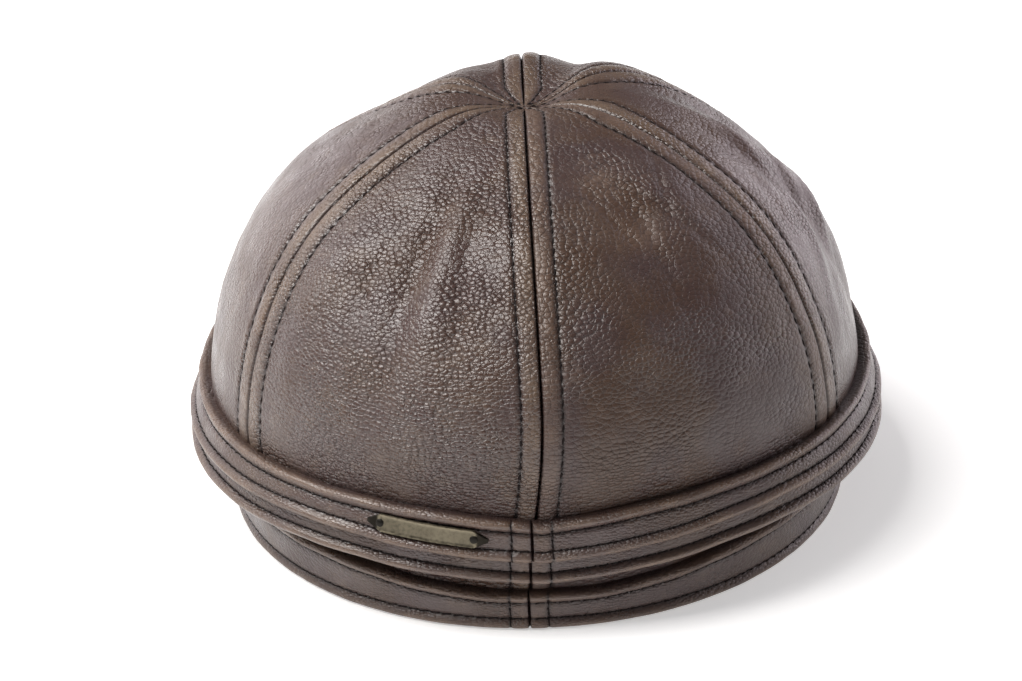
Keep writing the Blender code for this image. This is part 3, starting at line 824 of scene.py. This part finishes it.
def crown_panel(name, start, end, looks):
    """One gore of the crown. Returns the piece and the two lines that its topstitching follows."""
    climb = np.linspace(0, 1, PANEL_ROWS)[:, None]
    height = CROWN_HEIGHT * section("height", climb)
    first, last = seam_azimuth(start, height), seam_azimuth(end, height)
    row_width = (last - first) * arc_per_radian((first + last) / 2, climb)

    def margin_at(seam):
        if seam.azimuth % 180 == 0:
            return np.minimum(SEAM_MARGIN, CENTRE_OF_TIP * row_width)
        return np.minimum(SIDE_SEAM_MARGIN, MARGIN_OF_TIP * row_width)

    shares, stitch_column = seam_distances()
    slit = np.minimum(GAP / 2, SLIT_OF_TIP * row_width)
    from_first = first + (shares[None] * margin_at(start) + slit) / arc_per_radian(first, climb)
    from_last = last - (shares[None, ::-1] * margin_at(end) + slit) / arc_per_radian(last, climb)
    spread = np.linspace(0, 1, PANEL_MIDDLE_COLUMNS + 2)[None, 1:-1]
    between = from_first[:, -1:] + (from_last[:, :1] - from_first[:, -1:]) * spread
    azimuth = np.concatenate([from_first, between, from_last], axis=1)
    near = np.concatenate([shares, np.full(PANEL_MIDDLE_COLUMNS, shares[-1]), shares[::-1]])
    near = near[None] + 0 * azimuth
    by_start = np.arange(azimuth.shape[1]) < azimuth.shape[1] / 2
    own_seam = np.where(by_start, start.azimuth, end.azimuth % 360)
    shrink = np.minimum(np.where(by_start[None], margin_at(start), margin_at(end)) / SEAM_MARGIN, 1.0)

    climbs = climb + 0 * azimuth
    face = smooth_crown(azimuth, climbs)
    normal = outward(smooth_crown, azimuth, climbs)
    dents = dent_depth(FOLDS, azimuth, climbs) + dent_depth(CREASES, azimuth, climbs)

    # Seam relief, with its ridge swelling and its stitches puckering along the way
    run = climbs * CLIMB_LENGTH
    along_seam = np.stack([run, near * SEAM_MARGIN, own_seam[None] * 1e-3 + 0 * run], -1)
    ridge = relief(SEAM_RELIEF, "height", near) * SEAM_RELIEF_HEIGHT
    ridge = np.where(ridge > 0, ridge * (1 + uneven(along_seam, SEAM_SWELL)), ridge) * shrink
    pucker = PUCKER * np.cos(2 * math.pi * run / STITCH_PITCH) * bump_curve(near - 1.0, SEAM_PUCKER_REACH)
    open_field = smooth_step((near - 1.0) / 0.5)
    wrinkle = uneven(along_seam, SEAM_WRINKLE) * (1 - open_field) * smooth_step(near / 0.2)
    waves = uneven(face, SOFT_WAVE) + uneven(face, FINE_WAVE)
    waves = waves * (SEAM_WAVE_SHARE + (1 - SEAM_WAVE_SHARE) * open_field)
    waves = waves * smooth_step(climbs / WAVES_FROM_CLIMB - 1)
    rise = ridge + (pucker + wrinkle) * shrink + waves
    outer = face + normal * (rise - dents)[..., None]

    # Inside, the two layers at a seam meet their neighbours'
    layers = np.where(near < LAYERED_MARGIN, 2.0, 1.0)
    turned_in = azimuth.copy()
    turned_in[:, :1] -= 2 * slit / arc_per_radian(first, climb)
    turned_in[:, -1:] += 2 * slit / arc_per_radian(last, climb)
    inner = smooth_crown(turned_in, climbs) - normal * (dents + layers * LEATHER)[..., None]
    scuffed = dent_depth(SCUFFS, azimuth, climbs) / APEX_SINK
    wear = np.clip(np.maximum(relief(SEAM_RELIEF, "wear", near), scuffed), 0, 1)
    # Painted shade, darkest in the seam's groove and along its stitch line
    grime = np.clip(relief(SEAM_RELIEF, "grime", near), 0, 1)
    piece = shell(name, outer, inner, wear, grime, looks)
    lines = [(outer[:, col], normal[:, col]) for col in (stitch_column, -1 - stitch_column)]
    return piece, lines


def strip_point(line, azimuth, length_share, depth):
    """A point at a share of a strip's height from its foot, and depth out from its inner face."""
    run, climb = line.top - line.foot, line.top_height - line.foot_height
    size = np.hypot(run, climb)
    offset = line.foot + run * length_share + depth * climb / size
    height = line.foot_height + climb * length_share - depth * run / size
    x = (HALF_WIDTH + offset) * np.sin(azimuth)
    y = (HALF_LENGTH + offset) * np.cos(azimuth)
    return placed(x, y, lifted(azimuth, height))


def strip(
    name, line_of, start, end_azimuth, columns, side, looks, top_hem=True, end_round=0.0, flat_foot=False
):
    """A folded strip of leather from the back seam round to end_azimuth, hemmed along its edges.

    side is 1 on the wearer's left and -1 on the right. A flat foot is level, for the strip the cap rests on.
    Returns the piece and its stitches' lines: those of its hems, then the short one beside the back seam.
    """
    # Columns: crowded beside the back seam, then evenly round the head
    shares, seam_column = seam_distances()
    middle_height = line_of(np.zeros(1)).foot_height[0]
    first = math.degrees(seam_azimuth(start, middle_height)) * side
    near = first + np.degrees((shares * SEAM_MARGIN + GAP / 2) / HALF_LENGTH)
    spread = np.linspace(0, 1, columns - len(near) + 1)[1:]
    away = np.concatenate([near, near[-1] + (end_azimuth - near[-1]) * spread])
    near_seam = np.concatenate([shares, np.full(len(spread), shares[-1])])
    azimuth = np.radians(away)[None] * side
    line = line_of(azimuth)
    size = np.hypot(line.top - line.foot, line.top_height - line.foot_height)

    # Rows: crowded at the hems
    rolled, flat, beyond = np.linspace(0, 0.4, 5), np.linspace(0.4, 1.0, 6), np.linspace(1.0, 1.4, 4)
    hem_shares = np.concatenate([rolled, flat[1:], beyond[1:]])
    hem_row = int(np.argmin(np.abs(hem_shares - 1.0)))
    from_foot = hem_shares[:, None] * HEM + 0 * size
    from_top = size - from_foot[::-1]
    fill = np.linspace(0, 1, STRIP_MIDDLE_ROWS + 2)[1:-1, None]
    middle = from_foot[-1:] + (from_top[:1] - from_foot[-1:]) * fill
    length = np.concatenate([from_foot, middle, from_top])
    to_foot, to_top = length, size - length

    # The free end is rounded by letting the strip's height shrink along a circle
    share = length / size
    to_end = np.full(length.shape, 1.0)
    if end_round:
        left = np.radians(end_azimuth - away) * HALF_LENGTH
        inside = np.clip(1 - left / end_round, 0, 1)
        circle = np.sqrt(np.clip(1 - inside**2, 0, 1))
        keep = FLAP_END_HEIGHT_SHARE + (1 - FLAP_END_HEIGHT_SHARE) * circle
        share = 0.5 + (share - 0.5) * keep[None]
        to_end = left[None] + 0 * length
    from_edge = np.minimum(to_foot, to_end)
    if top_hem:
        from_edge = np.minimum(from_edge, to_top)

    azimuths = azimuth + 0 * length
    run = np.radians(away)[None] * HALF_LENGTH + 0 * length
    flow = np.stack([run, length, np.full(run.shape, 0.01 * side)], -1)
    edge_share = from_edge / HEM
    thickness = relief(HEM_RELIEF, "thickness", edge_share) * WALL
    roll = bump_curve(edge_share - HEM_ROLL_MIDDLE, HEM_ROLL_REACH)
    thickness = thickness * (1 + uneven(flow, HEM_SWELL) * roll)
    pucker = PUCKER * np.cos(2 * math.pi * run / STITCH_PITCH)
    pucker = pucker * bump_curve(edge_share - 1.0, HEM_PUCKER_REACH)
    groove = relief(SEAM_RELIEF, "height", near_seam)[None] * SEAM_RELIEF_HEIGHT
    groove = np.where(groove > 0, groove * STRIP_RIDGE_SHARE, groove)
    depth = np.maximum(thickness + pucker + uneven(flow, STRIP_WAVE) + groove, THINNEST_SHARE * WALL)
    free = 0 * length
    if not flat_foot:
        free = free + bump_curve(to_foot / size, EDGE_WAVE_REACH)
    if top_hem:
        free = free + bump_curve(to_top / size, EDGE_WAVE_REACH)
    wander = uneven(np.stack([run, 0 * run, flow[..., 2]], -1), EDGE_WAVE) * free

    outer = strip_point(line, azimuths, share, depth)
    rest = TOP_REACH * smooth_step(1 - to_top / HEM) if top_hem else 0 * length
    turned_in = azimuths.copy()
    turned_in[:, 0] -= side * GAP / HALF_LENGTH
    inner = strip_point(line, turned_in, share, -rest)
    outer[..., 2] += wander
    inner[..., 2] += wander
    if flat_foot:
        outer[0, :, 2] = inner[0, :, 2]
        outer[..., 2] = np.maximum(outer[..., 2], lifted(azimuths, 0 * length))
    # Paler on the hem's roll: partly real wear, partly a painted highlight along its crest
    wear = np.clip(relief(HEM_RELIEF, "wear", edge_share), 0, 1)
    wear = np.maximum(wear, STRIP_SEAM_WEAR * np.clip(relief(SEAM_RELIEF, "wear", near_seam), 0, 1)[None])
    # Painted shade at the hem's edge, along its stitch line and in the back seam's groove
    grime = np.clip(relief(HEM_RELIEF, "grime", edge_share), 0, 1)
    grime = np.maximum(grime, np.clip(relief(SEAM_RELIEF, "grime", near_seam), 0, 1)[None])

    normal = unit(np.cross(np.gradient(outer, axis=0), np.gradient(outer, axis=1)) * side)
    hems = [hem_row, -1 - hem_row] if top_hem else [hem_row]
    lines = [(outer[row, 2:], -normal[row, 2:]) for row in hems]
    lines.append((outer[1:-1, seam_column], -normal[1:-1, seam_column]))
    if side < 0:
        outer, inner, wear, grime = outer[:, ::-1], inner[:, ::-1], wear[:, ::-1], grime[:, ::-1]
    return shell(name, outer, inner, wear, grime, looks), lines


def stitch_rings(path, normals, run, begin):
    """Rings of points round a stitch that starts at begin metres along its path and dips in at both ends."""
    stations = np.linspace(0, 1, STITCH_RINGS)
    at = begin + stations * STITCH_LENGTH
    centre = np.stack([np.interp(at, run, path[:, k]) for k in range(3)], -1)
    normal = unit(np.stack([np.interp(at, run, normals[:, k]) for k in range(3)], -1))
    side = np.cross(unit(centre[-1] - centre[0]), normal)
    arch = np.sin(math.pi * stations)
    lift = arch * (STITCH_DIP + STITCH_PROUD * THREAD_RADIUS) - STITCH_DIP
    slant = (stations - 0.5) * STITCH_SLANT * STITCH_LENGTH
    centre = centre + normal * lift[:, None] + side * slant[:, None]
    radius = THREAD_RADIUS * (STITCH_END + (1 - STITCH_END) * np.sqrt(arch))
    angles = ring_angles(STITCH_SIDES)[None, :, None]
    spokes = side[:, None] * np.cos(angles) + normal[:, None] * np.sin(angles)
    return (centre[:, None] + spokes * radius[:, None, None]).reshape(-1, 3).tolist()


def stitches(name, lines, look):
    """Short threads along each line of points, joined in one piece."""
    points, faces = [], []
    for path, normals in lines:
        steps = np.linalg.norm(np.diff(path, axis=0), axis=1)
        run = np.concatenate([[0.0], np.cumsum(steps)])
        count = int(run[-1] / STITCH_PITCH)
        spare = run[-1] - count * STITCH_PITCH
        for begin in spare / 2 + np.arange(count) * STITCH_PITCH:
            base = len(points)
            points += stitch_rings(path, normals, run, begin)
            faces += tube_sides(STITCH_RINGS, STITCH_SIDES, base)
            faces.append(list(range(base, base + STITCH_SIDES))[::-1])
            faces.append(list(range(len(points) - STITCH_SIDES, len(points))))
    install(new_object(name, points, faces, [look]), "crown_leather")


def plate_surface(along, up):
    """The upper flap's face where the plate lies: metres along it from the plate's middle, and up it."""
    azimuth = math.radians(PLATE_AZIMUTH) + along / HALF_LENGTH
    line = upper_flap_line(azimuth)
    size = np.hypot(line.top - line.foot, line.top_height - line.foot_height)
    return strip_point(line, azimuth, 0.5 + up / size, WALL * PLAIN_THICKNESS + 0 * along)


def plate(look):
    """The bare plate: pointed dark ends, a raised border and a rubbed field."""
    ends = PLATE_LENGTH / 2
    along = np.linspace(-ends, ends, PLATE_COLUMNS)[None]
    half = np.interp(np.abs(along), [ends - PLATE_POINT, ends], [PLATE_HEIGHT / 2, PLATE_TIP_HEIGHT / 2])
    across = np.linspace(-1, 1, PLATE_ROWS)[:, None]
    up = across * half
    along = along + 0 * up
    face = plate_surface(along, up)
    normal = outward(plate_surface, along, up, step=1e-4)
    from_end = (ends - np.abs(along)) / PLATE_POINT
    inside = np.minimum((1 - np.abs(across)) * half, (ends - PLATE_POINT * 0.8 - np.abs(along)))
    border = bump_curve(inside / PLATE_BORDER - 0.8, 0.55)
    rounded = smooth_step((1 - np.abs(across)) * half / PLATE_EDGE_ROUND) * smooth_step(from_end * 4)
    body = PLATE_EDGE_SHARE + (1 - PLATE_EDGE_SHARE) * rounded
    rise = (PLATE_THICKNESS - PLATE_RELIEF) * body + PLATE_RELIEF * border
    tips = smooth_step((PLATE_DARK_TIP - from_end) / PLATE_DARK_FADE)
    wear = np.clip(PLATE_FIELD_WEAR + (1 - PLATE_FIELD_WEAR) * border, 0, 1) * (1 - tips)
    outer = face + normal * (GAP + rise)[..., None]
    inner = face + normal * GAP
    return shell("plate_bare", outer, inner, wear, tips, [look])


def rivet(name, along, look):
    """A low domed head on the plate, with a rim round its foot."""
    place, up = np.array([along]), np.array([0.0])
    middle = plate_surface(place, up)[0]
    normal = outward(plate_surface, place, up, step=1e-4)[0]
    side = unit(np.cross(normal, (0, 0, 1)))
    rise = np.cross(side, normal)
    base = middle + normal * (GAP + PLATE_THICKNESS - PLATE_RELIEF)
    arc = np.linspace(0, math.pi / 2, RIVET_RINGS + 1)[:-1]
    dome = [(math.cos(a), RIVET_RIM_SHARE + (1 - RIVET_RIM_SHARE) * math.sin(a)) for a in arc]
    rings = [(1.0, 0.0)] + dome
    points = []
    for reach, height in rings:
        for angle in ring_angles(RIVET_SIDES):
            spoke = side * math.cos(angle) + rise * math.sin(angle)
            points.append(base + spoke * reach * RIVET_RADIUS + normal * height * RIVET_HEIGHT)
    last_ring = len(points) - RIVET_SIDES
    points.append(base + normal * RIVET_HEIGHT)
    faces = [face[::-1] for face in tube_sides(len(rings), RIVET_SIDES)]
    faces.append(tuple(range(RIVET_SIDES)))
    for here in range(RIVET_SIDES):
        there = (here + 1) % RIVET_SIDES
        faces.append((last_ring + there, last_ring + here, len(points) - 1))
    obj = new_object(name, [tuple(p) for p in points], faces, [look])
    keep_at_points(obj, "wear", np.full(len(points), RIVET_WEAR))
    return obj


def peak(looks):
    """The peak, turned round a rolled edge and stitched behind it."""
    turn = np.radians(np.linspace(-PEAK_HALF_ANGLE, PEAK_HALF_ANGLE, PEAK_COLUMNS))[None]
    out = (1 - (1 - np.linspace(0, 1, PEAK_ROWS)) ** PEAK_ROW_CROWDING)[:, None]
    azimuth = math.pi + turn + 0 * out
    fullness = np.cos(turn / math.radians(PEAK_HALF_ANGLE) * math.pi / 2)
    reach = PEAK_CORNER + (PEAK_REACH - PEAK_CORNER) * np.clip(fullness, 0, 1) ** PEAK_ROUNDNESS
    offset = peak_root(azimuth) + out * reach
    low = (lifted(azimuth, 0.0) + PEAK_SEAT) * (1 - PEAK_SLOPE * out)
    to_edge = (1 - out) * reach
    rounding = np.sqrt(1 - (1 - np.clip(to_edge / PEAK_EDGE_ROLL, 0, 1)) ** 2)
    thin = PEAK_THICKNESS * (PEAK_EDGE_SHARE + (1 - PEAK_EDGE_SHARE) * rounding)
    groove = PEAK_GROOVE * bump_curve(to_edge - PEAK_STITCH, PEAK_GROOVE_WIDTH)
    slack = (PEAK_THICKNESS - thin) / 2
    x, y = (HALF_WIDTH + offset) * np.sin(azimuth), (HALF_LENGTH + offset) * np.cos(azimuth)
    under = placed(x, y, low + slack + groove)
    over = placed(x, y, low + slack + thin - groove)
    over[..., 2] += uneven(over, PEAK_WAVE) * smooth_step(to_edge / PEAK_WAVE_FADE)
    wear = bump_curve(to_edge - PEAK_WEAR_PLACE, PEAK_WEAR_REACH)
    # Painted shade along the groove of the stitch line
    grime = bump_curve(to_edge - PEAK_STITCH, PEAK_SHADE_REACH)
    piece = shell("peak_dressed", over[::-1], under[::-1], wear[::-1], grime[::-1], looks)

    # The stitches follow the peak's edge at a fixed distance inside it
    share = np.clip(1 - PEAK_STITCH / reach[0], 0, 1)
    keep = reach[0] > PEAK_SEWN_REACH
    rows = np.interp(share[keep], out[:, 0], np.arange(PEAK_ROWS))
    cols = np.arange(PEAK_COLUMNS)[keep]
    below = np.floor(rows).astype(int)
    part = (rows - below)[:, None]
    above = np.minimum(below + 1, PEAK_ROWS - 1)
    path = over[below, cols] * (1 - part) + over[above, cols] * part
    beneath = under[below, cols] * (1 - part) + under[above, cols] * part
    upward = np.tile((0.0, 0.0, 1.0), (len(path), 1))
    return piece, [(path, upward), (beneath, -upward)]


def direction(azimuth, elevation):
    """Outward from the crown's middle. Azimuth runs from the back centre toward the wearer's left."""
    turn, tip = math.radians(azimuth), math.radians(elevation)
    return Vector((math.sin(turn) * math.cos(tip), math.cos(turn) * math.cos(tip), math.sin(tip)))


def area_light(light):
    data = bpy.data.lights.new(light.name, "AREA")
    data.shape = "RECTANGLE"
    data.size, data.size_y = light.size
    data.energy = light.power
    data.color = light.color
    toward = direction(light.azimuth, light.elevation)
    obj = bpy.data.objects.new(light.name, data)
    obj.location = Vector((0, MIDDLE_Y, CAMERA_HEIGHT)) + toward * light.distance
    obj.rotation_euler = toward.to_track_quat("Z", "Y").to_euler()
    bpy.context.scene.collection.objects.link(obj)


def camera():
    back = direction(CAMERA_AZIMUTH, CAMERA_ELEVATION)
    cos, sin = math.cos(math.radians(CAMERA_ROLL)), math.sin(math.radians(CAMERA_ROLL))
    right = Vector((0, 0, 1)).cross(back).normalized()
    up = back.cross(right)
    right, up = right * cos + up * sin, up * cos - right * sin
    offset = (up * CAMERA_OFFSET_Y - right * CAMERA_OFFSET_X) / CAMERA_FOCAL
    aim = (offset - back).normalized()
    right = up.cross(-aim).normalized()
    up = (-aim).cross(right)
    data = bpy.data.cameras.new("photo_camera")
    data.sensor_width = SENSOR_WIDTH
    data.lens = CAMERA_FOCAL / FRAME_WIDTH * SENSOR_WIDTH
    obj = bpy.data.objects.new("photo_camera", data)
    placing = Matrix((right, up, -aim)).transposed().to_4x4()
    placing.translation = Vector((0, MIDDLE_Y, CAMERA_HEIGHT)) + back * CAMERA_DISTANCE
    obj.matrix_world = placing
    bpy.context.scene.collection.objects.link(obj)
    bpy.context.scene.camera = obj


def floor():
    """A pale sweep: flat under and round the cap, with a faint tone of its own."""
    reach = FLOOR_HALF_SIZE
    corners = [(-reach, -reach, 0), (reach, -reach, 0), (reach, reach, 0), (-reach, reach, 0)]
    made, tree, shader = new_material("pale_floor")
    tree.links.new(blended(tree, clouds(tree, FLOOR_CLOUD), *FLOOR_TONES), shader.inputs["Base Color"])
    shader.inputs["Roughness"].default_value = 0.8
    shader.inputs["Specular IOR Level"].default_value = 0.1
    shader.inputs["Emission Color"].default_value = (1.0, 1.0, 1.0, 1.0)
    # It glows more where the lights no longer reach, so that it stays pale up to the horizon
    place = add(tree, "TexCoord", {}).outputs["Object"]
    away = add(tree, "VectorMath", {0: place}, operation="LENGTH").outputs["Value"]
    glow = ramp(tree, away, *FLOOR_GLOW_REACH, *FLOOR_GLOW)
    tree.links.new(glow, shader.inputs["Emission Strength"])
    new_object("floor", corners, [(0, 1, 2, 3)], [made])


def studio():
    world = bpy.data.worlds.new("studio")
    world.use_nodes = True
    background = world.node_tree.nodes["Background"]
    background.inputs["Color"].default_value = SURROUND_COLOR
    background.inputs["Strength"].default_value = SURROUND_STRENGTH
    bpy.context.scene.world = world
    bpy.context.scene.view_settings.view_transform = "Standard"
    for light in LIGHTS:
        area_light(light)


def build():
    camera()
    studio()
    floor()

    flesh = flesh_side()
    crown = leather("crown_leather_pebbled", CROWN_LOOK)
    right = leather("crown_leather_browner", RIGHT_LOOK)
    sides = leather("crown_leather_smoother", SIDE_LOOK)
    strips = leather("strip_leather_worn", STRIP_LOOK)
    sewing = thread()

    crown_lines = []
    outsides = {"crown_back_right": right, "crown_side_left": sides, "crown_side_right": sides}
    for name, seams in PANELS.items():
        outside = outsides.get(name, crown)
        piece, lines = crown_panel(name + "_dressed", *seams, [outside, flesh])
        install(piece, "crown_leather", name)
        crown_lines += lines
    stitches("crown_stitches", crown_lines, sewing)

    flap_lines, rim_lines = [], []
    for side, word in ((1, "left"), (-1, "right")):
        common = {"start": BACK, "side": side, "looks": [strips, flesh]}
        flap = {"end_azimuth": FLAP_END, "columns": FLAP_COLUMNS, "end_round": FLAP_END_ROUND}
        piece, lines = strip(f"flap_upper_{word}_dressed", upper_flap_line, **common, **flap)
        install(piece, "strip_leather", "flap_upper_" + word)
        flap_lines += lines
        piece, lines = strip(f"flap_lower_{word}_dressed", lower_flap_line, top_hem=False, **common, **flap)
        install(piece, "strip_leather", "flap_lower_" + word)
        flap_lines += lines
        rim = {"end_azimuth": 180 - math.degrees(GAP / 2 / HALF_WIDTH), "columns": RIM_COLUMNS}
        piece, lines = strip(f"rim_band_{word}_dressed", rim_band_line, flat_foot=True, **common, **rim)
        install(piece, "strip_leather", "rim_band_" + word)
        rim_lines += lines
    stitches("flap_stitches", flap_lines, sewing)
    stitches("rim_stitches", rim_lines, sewing)

    brass = metal("antique_brass", BRASS)
    blackened = metal("blackened_metal", BLACKENED)
    install(plate(brass), "plate_brass", "plate")
    install(rivet("rivet_left_domed", RIVET_SPREAD, blackened), "rivet_metal", "plate_rivet_left")
    install(rivet("rivet_right_domed", -RIVET_SPREAD, blackened), "rivet_metal", "plate_rivet_right")

    piece, lines = peak([crown, crown])
    install(piece, "peak_leather", "peak")
    stitches("peak_stitches", lines, sewing)


build()
